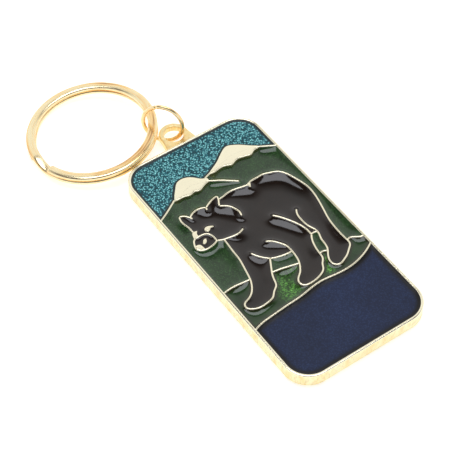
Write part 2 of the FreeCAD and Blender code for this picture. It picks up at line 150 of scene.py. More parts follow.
# Solid metal areas, in millimetres: a middle, and an outline as a run of smooth curves joined at their ends.
AREAS = {
    "left_snow_cap": ((-5.6, 20.6), [
        [(-10.5, 18.95), (-9.6, 20.35), (-8.5, 21.7), (-7.3, 22.9), (-5.9, 23.2), (-4.6, 22.85),
         (-3.4, 21.9), (-2.4, 20.9), (-1.6, 20.6)],
        [(-1.6, 20.6), (-1.35, 20.1), (-1.6, 19.4)],
        [(-1.6, 19.4), (-2.6, 19.15), (-3.6, 18.75), (-4.7, 18.4), (-5.7, 18.7), (-6.8, 18.45),
         (-8.0, 18.75), (-9.2, 18.8), (-10.5, 18.95)],
    ]),
    "right_snow_cap": ((6.4, 22.6), [
        [(-0.6, 21.2), (1.0, 22.05), (2.7, 22.95), (4.3, 24.1), (5.6, 24.95), (6.8, 25.35), (8.0, 24.95),
         (9.5, 24.0), (10.9, 22.8), (12.3, 21.75)],
        [(12.3, 21.75), (12.2, 21.2), (11.4, 21.1), (10.5, 20.8), (9.6, 20.4), (8.7, 20.6), (7.8, 20.85),
         (6.8, 21.0), (5.8, 20.75), (4.8, 20.4), (3.8, 20.75), (2.5, 21.0), (1.0, 20.75), (-0.6, 20.9)],
        [(-0.6, 20.9), (-0.7, 21.05), (-0.6, 21.2)],
    ]),
    "near_eye": ((-8.7, 9.2), [
        [(-9.75, 9.15), (-9.5, 9.65), (-8.9, 9.85), (-8.2, 9.65), (-7.7, 9.35)],
        [(-7.7, 9.35), (-7.6, 9.15), (-7.75, 8.98)],
        [(-7.75, 8.98), (-8.4, 9.05), (-9.05, 8.6), (-9.5, 8.75), (-9.75, 9.15)],
    ]),
    "far_eye": ((-11.9, 9.2), [
        [(-12.75, 8.5), (-12.5, 9.4), (-12.0, 10.2), (-11.2, 10.12)],
        [(-11.2, 10.12), (-11.0, 10.0), (-11.15, 9.8)],
        [(-11.15, 9.8), (-11.45, 9.3), (-11.35, 8.5)],
        [(-11.35, 8.5), (-12.05, 8.35), (-12.75, 8.5)],
    ]),
    "nose": ((-12.9, 6.2), [
        [(-13.7, 6.9), (-13.1, 7.05), (-12.5, 6.8), (-12.25, 6.0), (-12.2, 5.1)],
        [(-12.2, 5.1), (-13.2, 5.4), (-13.7, 6.2), (-13.7, 6.9)],
    ]),
    "nostril_dot": ((-11.25, 6.9), [
        [(-11.95, 6.55), (-11.6, 7.1), (-11.0, 7.5), (-10.6, 7.35)],
        [(-10.6, 7.35), (-10.85, 6.85), (-11.4, 6.4), (-11.95, 6.55)],
    ]),
    "hump_spur": ((4.5, 14.0), [
        [(3.95, 14.3), (4.15, 13.9), (4.35, 13.3)],
        [(4.35, 13.3), (4.6, 13.35), (4.7, 13.65)],
        [(4.7, 13.65), (4.95, 14.0), (5.0, 14.5)],
        [(5.0, 14.5), (4.5, 14.3), (3.95, 14.3)],
    ]),
}

# One point inside each fill, in millimetres.
FILLS = {
    "sky_enamel": (0.0, 28.0),
    "hill_enamel": (8.0, 17.5),
    "belly_gap_enamel": (-1.0, -6.2),
    "hind_gap_enamel": (7.0, -6.2),
    "meadow_enamel": (-4.5, -11.5),
    "bear_enamel": (3.0, 8.0),
    "muzzle_enamel": (-10.0, 6.3),
    "lake_enamel": (0.0, -22.0),
}
FILL_SLOTS = {
    "sky_enamel": "sky_enamel",
    "hill_enamel": "hill_enamel",
    "belly_gap_enamel": "hill_enamel",
    "hind_gap_enamel": "hill_enamel",
    "meadow_enamel": "meadow_enamel",
    "bear_enamel": "bear_enamel",
    "muzzle_enamel": "bear_enamel",
    "lake_enamel": "lake_enamel",
}

# How each fill lies, in millimetres: the depth of its middle, and how far out from the metal it falls away.
FILL_DISHES = {
    "sky_enamel": (0.42, 0.55),
    "hill_enamel": (0.80, 0.95),
    "belly_gap_enamel": (0.85, 1.1),
    "hind_gap_enamel": (0.60, 0.8),
    "meadow_enamel": (0.85, 1.0),
    "bear_enamel": (1.05, 1.5),
    "muzzle_enamel": (0.80, 1.0),
    "lake_enamel": (0.42, 0.55),
}

# The same for the points under the metal, which no fill owns.
METAL_DISH = (0.8, 1.0)

# Rounds of averaging that bring the enamel's rise to rest.
RISE_ROUNDS = 900

# Patches of painted sparkle in the meadow, where its flake is painted bright as if caught by the light, in
# millimetres: middle and radius.
SPARKLE_PATCHES = [
    (-4.6, -10.2, 1.9), (-4.4, -12.2, 1.9), (5.6, -10.0, 1.3), (-0.8, -7.2, 1.6), (5.0, -12.6, 0.9)
]

# Distances between the points of a curve: to measure from, along a raised line, and round a solid area.
MEASURING_SPACING = 0.06 * MM
LINE_SPACING = 0.14 * MM
AREA_SPACING = 0.05 * MM

# The camera: its bearing and elevation in degrees, its distance, its lens and the point it looks at.
CAMERA_BEARING = -35.0
CAMERA_ELEVATION = 50.83
CAMERA_DISTANCE = 0.30686
CAMERA_LENS = 122.78
CAMERA_AIM = (-5.633 * MM, 8.011 * MM, TOP)

# The softbox: its height, how far beyond the keychain from the camera it stands, its size, power and tint.
SOFTBOX_HEIGHT = 0.9
SOFTBOX_BEYOND = 0.11
SOFTBOX_SIZE = (0.68, 0.42)
SOFTBOX_POWER = 3.5
SOFTBOX_TINT = (0.92, 0.94, 1.0)

# The dark patch in the surround: its lean from straight up in degrees, and the grey at each cosine from it.
DARK_PATCH_LEAN = 15.0
DARK_PATCH_GREYS = [(0.0, 0.95), (0.60, 0.95), (0.64, 0.86), (0.69, 0.45), (0.76, 0.07), (1.0, 0.05)]

# The stage's floor: half the length of its side, and the strength of its own glow.
FLOOR_REACH = 3.0
FLOOR_GLOW = 0.5


# Sizes and colours ---------------------------------------------------------------------------------

def length(name, description, default):
    """A length that a user can change, in metres."""
    return bpy.props.FloatProperty(name=name, description=description, default=default,
                                   unit="LENGTH", precision=5)


def angle(name, description, degrees):
    """An angle that a user can change."""
    return bpy.props.FloatProperty(name=name, description=description, default=math.radians(degrees),
                                   unit="ROTATION")


def colour(name, description, default):
    """A colour that a user can change."""
    return bpy.props.FloatVectorProperty(name=name, description=description, default=default,
                                         subtype="COLOR", min=0.0, max=1.0)


class KeychainCastingSizes(bpy.types.PropertyGroup):
    """Sizes of the casting's rounded edges, raised lines and lug."""
    corner_radius: length("Corner radius", "Plan radius of the plate's outer corners", 5.4 * MM)
    rim_crown: length("Rim crown", "Height of the rim's rounded top", 0.16 * MM)
    back_rounding: length("Back rounding", "Radius of the edge round the back", 0.45 * MM)
    line_width: length("Line width", "Width of a raised line at its foot", 0.40 * MM)
    line_crown: length("Line crown", "Height of a raised line's rounded top", 0.2 * MM)
    area_crown: length("Area crown", "Height of the rounded shoulder of a solid area", 0.22 * MM)
    flute_depth: length("Flute depth", "Depth of the fine flutes in a snow cap's lower edge", 0.05 * MM)
    flute_pitch: length("Flute pitch", "Distance from one flute to the next", 0.32 * MM)
    lug_centre: length("Lug centre", "Distance of the lug's hole from the plate's middle", 34.9 * MM)
    lug_radius: length("Lug radius", "Outer radius of the lug", 3.2 * MM)
    lug_hole: length("Lug hole", "Radius of the lug's hole", 2.1 * MM)
    lug_low: length("Lug underside", "Height of the lug's underside above the back", 1.2 * MM)
    lug_high: length("Lug top", "Height of the lug's top above the back", 2.7 * MM)
    lug_foot: length("Lug foot", "Half the width of the lug's foot", 3.6 * MM)
    lug_rounding: length("Lug rounding", "Radius of the lug's edges", 0.35 * MM)


class KeychainEnamelSizes(bpy.types.PropertyGroup):
    """Sizes of the dished enamel surfaces."""
    grid_step: length("Grid step", "Distance between the points of an enamel surface", 0.12 * MM)
    edge_drop: length("Edge drop", "Depth of a fill's edge below the line tops", 0.11 * MM)
    cap_wetting: bpy.props.FloatProperty(
        name="Cap wetting", default=0.12,
        description="Share of the full rise that a fill makes against a snow cap")
    tuck: length("Tuck", "How far a fill runs under the metal round it", 0.19 * MM)
    waviness: length("Waviness", "Height of the slow unevenness of a cured surface", 0.012 * MM)


class KeychainRingSizes(bpy.types.PropertyGroup):
    """Sizes and lie of the jump ring and the split ring."""
    jump_radius: length("Jump ring radius", "Mean radius of the jump ring", 4.3 * MM)
    jump_wire: length("Jump ring wire", "Diameter of the jump ring's wire", 0.892 * MM)
    jump_bearing: angle("Jump ring bearing", "Direction of its axis round the plate", 40.3)
    jump_elevation: angle("Jump ring elevation", "Slope of its axis", -8.8)
    jump_gap: angle("Jump ring gap", "Angle of its butt gap", 1.5)
    jump_gap_turn: angle("Jump ring gap turn", "Where its gap lies round the ring", 200.0)
    split_radius: length("Split ring radius", "Outer radius of the split ring", 14.0 * MM)
    split_width: length("Split wire width", "Width of its wire across the ring", 2.0 * MM)
    split_height: length("Split wire height", "Height of one turn of its wire", 1.05 * MM)
    split_squareness: bpy.props.FloatProperty(
        name="Split wire squareness", default=2.5,
        description="2 is an oval wire, and more is a flatter one")
    split_tilt: angle("Split ring tilt", "Tilt of the ring over the plate's edge", 5.6)
    split_low_side: angle("Split ring low side", "Bearing of the side that touches the table", 144.0)
    split_step: angle("Split ring step", "Bearing of the step between its turns", -176.0)
    split_step_angle: angle("Split ring step length", "Angle that the step takes", 22.0)
    split_end_gap: angle("Split ring end gap", "Angle left at each cut end", 1.0)


class KeychainColours(bpy.types.PropertyGroup):
    """Colours of the plating and the enamels."""
    # Painted highlight, partly: the tops are polished, and their paler colour stands for the washed-out
    # highlight that they show.
    polished: colour("Polished plating", "Palest plating, on the polished tops", (1.0, 0.935, 0.70))
    plating: colour("Plating", "Pale gold plating on the walls", (0.97, 0.87, 0.56))
    plating_warm: colour("Warm plating", "Thicker, warmer plating in patches", (0.95, 0.74, 0.36))
    wire: colour("Wire plating", "Plating on the rings", (1.0, 0.87, 0.56))
    wire_warm: colour("Warm wire plating", "Warmer streaks along the rings", (1.0, 0.71, 0.34))
    # Painted reflection, partly: the lug's oranger plating stands for the warm glow of gold reflected in gold
    # round its hole.
    lug: colour("Lug plating", "Plating on the lug", (1.0, 0.82, 0.44))
    lug_warm: colour("Warm lug plating", "Warmer plating on the lug, in patches", (1.0, 0.66, 0.22))
    wire_dark: colour("Dark wire plating", "Thin, dark streaks along the rings", (0.62, 0.36, 0.17))
    sky: colour("Sky", "Body colour of the sky enamel", (0.001, 0.075, 0.095))
    sky_flake: colour("Sky flake", "Brightest flakes in the sky enamel", (0.38, 1.0, 1.0))
    # Painted shade, partly: beside the metal the sky has no flake, and its dark colour stands for the shade
    # in the enamel's dip against the metal.
    sky_margin_shade: colour("Sky margin", "Flakeless sky enamel beside the metal", (0.012, 0.030, 0.032))
    hill: colour("Hill", "Body colour of the hill enamel", (0.017, 0.045, 0.013))
    meadow: colour("Meadow", "Body colour of the meadow enamel", (0.016, 0.044, 0.011))
    # Painted sparkle: the flake's colour where the patches paint it bright as if lit.
    meadow_flake: colour("Meadow flake", "Brightest flakes in the meadow enamel", (0.20, 0.60, 0.09))
    # Painted shade: the darker olive meadow beside the metal.
    meadow_margin_shade: colour("Meadow margin", "Meadow enamel beside the metal", (0.022, 0.020, 0.006))
    bear: colour("Bear", "Body colour of the bear enamel", (0.0105, 0.0058, 0.0036))
    lake: colour("Lake", "Body colour of the lake enamel", (0.009, 0.019, 0.062))
    # Painted shade: the near-black lake beside the metal.
    lake_margin_shade: colour("Lake margin", "Lake enamel beside the metal", (0.003, 0.003, 0.004))
    floor: colour("Floor", "Floor under the keychain", (0.90, 0.90, 0.90))


# Surfaces as arrays --------------------------------------------------------------------------------

def grid_faces(rings, around, wrap_path):
    """Four-sided faces between rings of points numbered ring by ring. A wrapped path joins last to first."""
    ring = np.arange(rings if wrap_path else rings - 1)[:, None]
    place = np.arange(around)[None, :]
    next_ring = (ring + 1) % rings
    next_place = (place + 1) % around
    corners = [ring * around + place, ring * around + next_place,
               next_ring * around + next_place, next_ring * around + place]
    return np.stack(np.broadcast_arrays(*corners), -1).reshape(-1, 4)


def tube_shell(points, wrap_path=False):
    """A closed shell from rings of points, shape (rings, round, 3): joined in a loop, or with flat ends."""
    rings, around = points.shape[:2]
    faces = [grid_faces(rings, around, wrap_path)]
    if not wrap_path:
        faces.append(np.arange(around)[None, ::-1])
        faces.append((rings - 1) * around + np.arange(around)[None, :])
    return outward(points.reshape(-1, 3), faces)


def outward(points, faces):
    """The shell with its faces turned outwards: the volume under them, as fans of triangles, is positive."""
    volume = 0.0
    for block in faces:
        first = points[block[:, 0]]
        for k in range(1, block.shape[1] - 1):
            volume += np.einsum("ij,ij->", first, np.cross(points[block[:, k]], points[block[:, k + 1]]))
    if volume < 0:
        faces = [block[:, ::-1] for block in faces]
    return points, faces


def make_piece(name, shells, body, material, replaced=(), values=None):
    """One smooth-shaded object from closed shells, riding on a body and material."""
    points = np.concatenate([shell[0] for shell in shells])
    starts = np.cumsum([0] + [len(shell[0]) for shell in shells])
    blocks = [block + start for (_, faces), start in zip(shells, starts) for block in faces]
    corners = np.concatenate([block.ravel() for block in blocks])
    sizes = np.concatenate([np.full(len(block), block.shape[1]) for block in blocks])
    mesh = bpy.data.meshes.new(name)
    mesh.vertices.add(len(points))
    mesh.vertices.foreach_set("co", points.astype(np.float32).ravel())
    mesh.loops.add(len(corners))
    mesh.loops.foreach_set("vertex_index", corners.astype(np.int32))
    mesh.polygons.add(len(sizes))
    mesh.polygons.foreach_set("loop_start", (np.cumsum(sizes) - sizes).astype(np.int32))
    mesh.update(calc_edges=True)
    if mesh.validate():
        raise ValueError(f"{name}: its mesh has broken faces")
    mesh.polygons.foreach_set("use_smooth", np.ones(len(sizes), bool))
    for key, value in (values or {}).items():
        kind, field = ("FLOAT_VECTOR", "vector") if value.ndim == 2 else ("FLOAT", "value")
        attribute = mesh.attributes.new(key, kind, "POINT")
        attribute.data.foreach_set(field, value.astype(np.float32).ravel())
    mesh.materials.append(material)
    piece = bpy.data.objects.new(name, mesh)
    bpy.context.scene.collection.objects.link(piece)
    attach(piece, body)
    if replaced:
        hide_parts(*replaced)
    return piece


def sharpen(piece, degrees):
    """Marks the edges that turn by more than the given angle as sharp, so that flats stay flat."""
    piece.data.set_sharp_from_angle(angle=math.radians(degrees))


def smooth_path(points, spacing):
    """A smooth curve through plan points, evenly spaced: a natural cubic spline over chord length."""
    knots = np.array(points, float) * MM
    chord = np.concatenate([[0], np.cumsum(np.hypot(*np.diff(knots, axis=0).T))])
    gap = np.diff(chord)
    count = len(knots)
    system = np.eye(count)
    right = np.zeros((count, 2))
    inner = np.arange(1, count - 1)
    system[inner, inner - 1] = gap[:-1]
    system[inner, inner] = 2 * (gap[:-1] + gap[1:])
    system[inner, inner + 1] = gap[1:]
    slope = np.diff(knots, axis=0) / gap[:, None]
    right[1:-1] = 6 * np.diff(slope, axis=0)
    bend = np.linalg.solve(system, right)
    fine_points = 40 * count
    at = np.linspace(0, chord[-1], fine_points)
    span = np.clip(np.searchsorted(chord, at, side="right") - 1, 0, count - 2)
    after = (at - chord[span])[:, None]
    width = gap[span][:, None]
    curve = (knots[span]
             + after * (slope[span] - width * (2 * bend[span] + bend[span + 1]) / 6)
             + after ** 2 * bend[span] / 2
             + after ** 3 * (bend[span + 1] - bend[span]) / (6 * width))
    run = np.concatenate([[0], np.cumsum(np.hypot(*np.diff(curve, axis=0).T))])
    steps = max(4, int(round(run[-1] / spacing)))
    even = np.linspace(0, run[-1], steps + 1)
    return np.stack([np.interp(even, run, curve[:, 0]), np.interp(even, run, curve[:, 1])], 1)


def side_of(path, closed=False):
    """Unit vectors square to a plan path, on its left."""
    if closed:
        along = np.roll(path, -1, 0) - np.roll(path, 1, 0)
    else:
        along = np.gradient(path, axis=0)
    along = along / np.hypot(along[:, 0], along[:, 1])[:, None]
    return np.stack([-along[:, 1], along[:, 0]], 1)


def arc(centre, radius, start, end, count):
    """Points of a circular arc between two angles, in degrees."""
    turn = np.radians(np.linspace(start, end, count))
    return np.stack([centre[0] + radius * np.cos(turn), centre[1] + radius * np.sin(turn)], 1)


def full_turn(count):
    """Angles evenly round a full turn, in radians."""
    return np.linspace(0, 2 * np.pi, count + 1)[:-1]


def rounded_rectangle(half_x, half_y, radius, per_corner, per_side):
    """Plan of a rounded rectangle, anticlockwise: four quarter circles with straight runs between them."""
    runs = []
    corners = [(1, 1, 0), (-1, 1, 90), (-1, -1, 180), (1, -1, 270)]
    for sign_x, sign_y, start in corners:
        centre = (sign_x * (half_x - radius), sign_y * (half_y - radius))
        runs.append(arc(centre, radius, start, start + 90, per_corner))
    out = []
    for index, run in enumerate(runs):
        following = runs[(index + 1) % 4][0]
        out.append(run)
        share = np.linspace(0, 1, per_side + 2)[1:-1, None]
        out.append(run[-1] + share * (following - run[-1]))
    return np.concatenate(out)


# Metal and fills over the plate's face ---------------------------------------------------------------

def near(xs, ys, points, reach):
    """The part of the grid within reach of some points, and each of its points' distance to the nearest."""
    column = slice(*np.searchsorted(xs, [points[:, 0].min() - reach, points[:, 0].max() + reach]))
    row = slice(*np.searchsorted(ys, [points[:, 1].min() - reach, points[:, 1].max() + reach]))
    across = (xs[column][None, :, None] - points[:, 0]) ** 2
    along = (ys[row][:, None, None] - points[:, 1]) ** 2
    best = np.sqrt((across + along).min(2))
    return row, column, best


def inside(xs, ys, outline):
    """True for grid points inside a closed outline: a ray to the right crosses it an odd number of times."""
    following = np.roll(outline, -1, 0)
    found = np.zeros((len(ys), len(xs)), bool)
    for (x0, y0), (x1, y1) in zip(outline, following):
        crosses = (y0 > ys) != (y1 > ys)
        rise = y1 - y0 if y1 != y0 else 1.0
        at = x0 + (ys - y0) / rise * (x1 - x0)
        found ^= crosses[:, None] & (xs[None, :] < at[:, None])
    return found


def area_outline(runs, spacing):
    """A solid area's outline as evenly spaced points, without its repeated ends."""
    return np.concatenate([smooth_path(run, spacing)[:-1] for run in runs])


def metal_distance(xs, ys, casting, cap_wetting):
    """Distance of each grid point from the nearest metal, and how far up that metal a fill rises, 0 to 1.

    The distance is negative inside the lines, solid areas and rim.
    """
    reach = 1.5 * MM
    radius = casting.corner_radius - RIM_WIDTH
    over_x = np.abs(xs)[None, :] - (RECESS_HALF_WIDTH - radius)
    over_y = np.abs(ys)[:, None] - (RECESS_HALF_LENGTH - radius)
    beyond = np.hypot(np.maximum(over_x, 0), np.maximum(over_y, 0))
    distance = radius - beyond - np.minimum(np.maximum(over_x, over_y), 0)
    wetting = np.ones_like(distance)
    for points in LINES.values():
        row, column, best = near(xs, ys, smooth_path(points, MEASURING_SPACING), reach)
        distance[row, column] = np.minimum(distance[row, column], best - casting.line_width / 2)
    for name, (_, runs) in AREAS.items():
        outline = area_outline(runs, MEASURING_SPACING)
        row, column, best = near(xs, ys, outline, reach)
        best = np.where(inside(xs[column], ys[row], outline), -best, best)
        if name.endswith("snow_cap"):
            wetting[row, column] = np.where(best < distance[row, column], cap_wetting, wetting[row, column])
        distance[row, column] = np.minimum(distance[row, column], best)
    return distance, wetting


def spread(labels, allowed):
    """Labels grown by one grid step into unlabelled points where they are allowed."""
    best = labels.copy()
    for axis in (0, 1):
        for step in (-1, 1):
            best = np.maximum(best, np.roll(labels, step, axis))
    return np.where((labels == 0) & allowed, best, labels)


def fill_labels(xs, ys, distance, tuck):
    """The fill that each grid point belongs to, numbered from 1: each fill floods out from its own point.

    Once the fills meet the metal, each runs under it by up to three grid steps, no further than the tuck.
    """
    labels = np.zeros(distance.shape, int)
    for number, (x, y) in enumerate(FILLS.values(), 1):
        labels[np.searchsorted(ys, y * MM), np.searchsorted(xs, x * MM)] = number
    while True:
        grown = spread(labels, distance > 0)
        if (grown == labels).all():
            break
        labels = grown
    for _ in range(3):
        labels = spread(labels, distance > -tuck)
    return labels


def meniscus_rise(distance, wetting, step, reach, rounds):
    """How far each point has risen to its metal, 0 to 1: the steady spread of height out of the metal.

    Each point is the mean of its neighbours, pulled to its wetting by metal and to 0 by its reach:
    rise = (4 mean + pull metal wetting) / (4 + (step / reach)^2 + pull metal).
    """
    pull = 60.0
    metal = np.clip(0.5 - distance / step, 0, 1)
    rise = wetting * np.exp(-np.maximum(distance, 0) / reach)
    sink = 4 + (step / reach) ** 2 + pull * metal
    for _ in range(rounds):
        padded = np.pad(rise, 1, mode="edge")
        around = padded[:-2, 1:-1] + padded[2:, 1:-1] + padded[1:-1, :-2] + padded[1:-1, 2:]
        rise = (around + pull * metal * wetting) / sink
    return rise


def slow_waves(x, y):
    """Slow unevenness, -1 to 1, at places in millimetres: three slanting sine waves, the third at half."""
    waves = (np.sin(1.3 * x + 0.7 * y) + np.sin(0.9 * y - 0.6 * x + 1.0)
             + np.sin(2.1 * x - 1.7 * y + 2.0) * 0.5)
    return waves / 2.5


def painted_sparkle_patches(x, y):
    """How much painted sparkle shows at places in millimetres: the highest of the bells round the patches."""
    patch = np.zeros_like(x)
    for middle_x, middle_y, radius in SPARKLE_PATCHES:
        bell = np.exp(-((x - middle_x) ** 2 + (y - middle_y) ** 2) / radius ** 2)
        patch = np.maximum(patch, bell)
    return patch


def prism_shell(held, xs, ys, heights, low):
    """A closed shell over the held grid points: its top at the given heights, its underside flat at low.

    The face between four points is kept where all four are held, and a wall drops from each outer edge.
    The third value is the grid point that each of the shell's points stands on.
    """
    rows, columns = held.shape
    cells = held[:-1, :-1] & held[1:, :-1] & held[:-1, 1:] & held[1:, 1:]
    number = np.arange(rows * columns).reshape(rows, columns)
    corner = [number[:-1, :-1], number[:-1, 1:], number[1:, 1:], number[1:, :-1]]
    top = np.stack([c[cells] for c in corner], 1)
    under = top[:, ::-1] + rows * columns
    padded = np.pad(cells, 1)
    walls = []
    sides = [(padded[:-2, 1:-1], 0, 1), (padded[1:-1, 2:], 1, 2),
             (padded[2:, 1:-1], 2, 3), (padded[1:-1, :-2], 3, 0)]
    for beside, first, second in sides:
        edge = cells & ~beside
        a, b = corner[first][edge], corner[second][edge]
        walls.append(np.stack([a, a + rows * columns, b + rows * columns, b], 1))
    faces = np.concatenate([top, under] + walls)
    used, faces = np.unique(faces, return_inverse=True)
    faces = faces.reshape(-1, 4)
    grid_x, grid_y = np.meshgrid(xs, ys)
    high = np.stack([grid_x, grid_y, heights], -1).reshape(-1, 3)
    flat = np.stack([grid_x, grid_y, np.full_like(grid_x, low)], -1).reshape(-1, 3)
    return np.concatenate([high, flat])[used], faces, used % (rows * columns)


# Materials -----------------------------------------------------------------------------------------

# Features to a metre in each pattern.
PLATING_BLOTCHES = 480.0
PLATING_PITS = 2600.0
PLATING_SHEEN = 200.0
WIRE_WEAR = 260.0
GLOSS_DEPTH = 260.0
GLOSS_FINISH = 900.0
GLOSS_PEEL = 700.0
LAKE_DEPTH = 150.0
MEADOW_DEPTH = 420.0
FLOOR_CLOUDS = 8.0

# Scratches on the wire: how many times finer than its streaks they are, and how deep beside them.
SCRATCH_FINENESS = 6
SCRATCH_DEPTH = 0.12

# Glints in a gloss enamel: the flake numbers from which they start, and how much brighter than it they are.
GLINT_FROM = 0.70
GLINT_BRIGHTNESS = 6.0

# Heights of the grains, pebbles and ripples that can be felt on an enamel.
SKY_GRAIN_HEIGHT = 0.02 * MM
LAKE_PEBBLE_HEIGHT = 0.008 * MM
MEADOW_RIPPLE_HEIGHT = 0.010 * MM

# Sizes of the flakes, grains and pebbles in the enamels.
SKY_GRAIN = 0.37 * MM
HILL_FLAKE = 0.15 * MM
BEAR_FLAKE = 0.12 * MM
LAKE_PEBBLE = 0.36 * MM
MEADOW_FLAKE = 0.26 * MM

# Roughness of each finish, or its smoothest and roughest.
PLATING_ROUGHNESS = (0.15, 0.34)
WIRE_ROUGHNESS = (0.16, 0.30)
SKY_ROUGHNESS = 0.42
GLOSS_ROUGHNESS = (0.06, 0.11)
LAKE_ROUGHNESS = (0.30, 0.42)
MEADOW_ROUGHNESS = 0.09
FLOOR_ROUGHNESS = 0.9

# The margin value up to which an enamel is all its own colour, and the one from which it is all painted
# margin shade.
SKY_MARGIN = (0.34, 0.48)
LAKE_MARGIN = (0.06, 0.36)
MEADOW_MARGIN = (0.50, 0.90)

# The range that most of a noise lies in, and plain white.
NOISE_SPAN = (0.3, 0.7)
WHITE = (1.0, 1.0, 1.0)


def set_inputs(tree, node, inputs):
    """Sets a node's inputs to values, or links them to other nodes."""
    for key, value in inputs.items():
        if isinstance(value, bpy.types.NodeSocket):
            tree.links.new(value, node.inputs[key])
        else:
            node.inputs[key].default_value = value


def add_node(tree, kind, inputs, **settings):
    """A node of the given kind, with its settings and inputs."""
    node = tree.nodes.new(kind)
    for key, value in settings.items():
        setattr(node, key, value)
    set_inputs(tree, node, inputs)
    return node


def new_material(name):
    """An empty material, its node tree, its finished shader and the object's own coordinates."""
    material = bpy.data.materials.new(name)
    material.use_nodes = True
    tree = material.node_tree
    tree.nodes.clear()
    shader = tree.nodes.new("ShaderNodeBsdfPrincipled")
    add_node(tree, "ShaderNodeOutputMaterial", {"Surface": shader.outputs[0]})
    place = tree.nodes.new("ShaderNodeTexCoord").outputs["Object"]
    return material, tree, shader, place


def ramp(tree, factor, stops):
    """A colour ramp with the given (position, colour) stops."""
    node = add_node(tree, "ShaderNodeValToRGB", {"Fac": factor})
    elements = node.color_ramp.elements
    while len(elements) < len(stops):
        elements.new(0.5)
    for element, (position, tone) in zip(elements, stops):
        element.position = position
        element.color = (*tone, 1.0)
    return node.outputs["Color"]


def map_range(tree, value, low, high, to_low, to_high):
    """A value carried from one range to another, held at its ends."""
    sockets = {"Value": value, "From Min": low, "From Max": high, "To Min": to_low, "To Max": to_high}
    return add_node(tree, "ShaderNodeMapRange", sockets).outputs["Result"]


def noise(tree, place, scale, detail, roughness=0.5):
    """Smooth noise with about one feature to each 1 / scale metres."""
    sockets = {"Vector": place, "Scale": scale, "Detail": detail, "Roughness": roughness}
    return add_node(tree, "ShaderNodeTexNoise", sockets).outputs["Fac"]


def cells(tree, place, size, randomness):
    """Rounded cells of the given size: the distance from each one's middle, and a random colour for each."""
    sockets = {"Vector": place, "Scale": 1.0 / size, "Randomness": randomness}
    return add_node(tree, "ShaderNodeTexVoronoi", sockets).outputs


def cell_number(tree, grains):
    """A random number for each cell, 0 to 1."""
    return add_node(tree, "ShaderNodeSeparateColor", {"Color": grains["Color"]}).outputs["Red"]


def attribute(tree, name, output="Fac"):
    """A value that the piece's own points carry."""
    return add_node(tree, "ShaderNodeAttribute", {}, attribute_name=name).outputs[output]


def bump(tree, height, distance, strength=1.0, over=None):
    """The surface's direction, bent by a height of the given size, over another bump where there is one."""
    sockets = {"Height": height, "Distance": distance, "Strength": strength}
    if over is not None:
        sockets["Normal"] = over
    return add_node(tree, "ShaderNodeBump", sockets).outputs[0]


def blend_colour(tree, factor, first, second, mode="MIX"):
    """One colour mixed into another."""
    node = add_node(tree, "ShaderNodeMix", {}, data_type="RGBA", blend_type=mode)
    for socket, value in ((node.inputs[0], factor), (node.inputs[6], first), (node.inputs[7], second)):
        if isinstance(value, bpy.types.NodeSocket):
            tree.links.new(value, socket)
        elif socket.type == "RGBA":
            socket.default_value = (*value, 1.0)
        else:
            socket.default_value = value
    return node.outputs[2]


def shade(base, factor):
    """A colour made lighter or darker."""
    return tuple(min(1.0, channel * factor) for channel in base)


def uneven_tone(tree, depth, base, darker, lighter):
    """A colour that wanders between two shades of itself with the given noise."""
    low, high = NOISE_SPAN
    return ramp(tree, depth, [(low, shade(base, darker)), (high, shade(base, lighter))])


def clear_of_margin_shade(tree, full, none):
    """How much of an enamel's own colour shows: none beside the metal, where it gives way to painted shade,
    all of it further out in the fill.
    """
    return map_range(tree, attribute(tree, "margin"), full, none, 1.0, 0.0)


def casting_material(name, tops, walls, warm, wave, pits):
    """Pale gold plating: polished on the tops and painted paler there as a highlight, mottled on the walls
    with warm upright streaks and pits.
    """
    material, tree, shader, place = new_material(name)
    high = add_node(tree, "ShaderNodeSeparateXYZ", {"Vector": place}).outputs["Z"]
    polished_above, mottled_below = TOP - 0.15 * MM, TOP - 0.35 * MM
    wall = map_range(tree, high, mottled_below, polished_above, 1.0, 0.0)
    drawn_up = (1.0, 1.0, 0.35)
    upright = add_node(tree, "ShaderNodeVectorMath", {0: place, 1: drawn_up}, operation="MULTIPLY").outputs[0]
    blotch = noise(tree, upright, PLATING_BLOTCHES, 4.0, 0.65)
    fine = noise(tree, upright, PLATING_PITS, 3.0, 0.6)
    patches = map_range(tree, blotch, 0.44, 0.66, 0.0, 0.95)
    mottled = blend_colour(tree, patches, tuple(walls), tuple(warm))
    grain = ramp(tree, fine, [(0.3, (0.80, 0.76, 0.70)), (0.5, WHITE)])
    mottled = blend_colour(tree, 1.0, mottled, grain, "MULTIPLY")
    sheen = noise(tree, place, PLATING_SHEEN, 2.0)
    # Painted highlight: the tops take the paler polished colour, standing for the washed-out highlight on
    # them.
    painted_top_highlight = ramp(tree, sheen, [(0.35, shade(tops, 0.97)), (0.65, tuple(tops))])
    strength = map_range(tree, wall, 0.0, 1.0, 0.08, 1.0)
    slow = bump(tree, blotch, wave, strength)
    set_inputs(tree, shader, {
        "Base Color": blend_colour(tree, wall, painted_top_highlight, mottled),
        "Metallic": 1.0,
        "Roughness": map_range(tree, wall, 0.0, 1.0, *PLATING_ROUGHNESS),
        "Normal": bump(tree, fine, pits, strength, slow),
    })
    return material


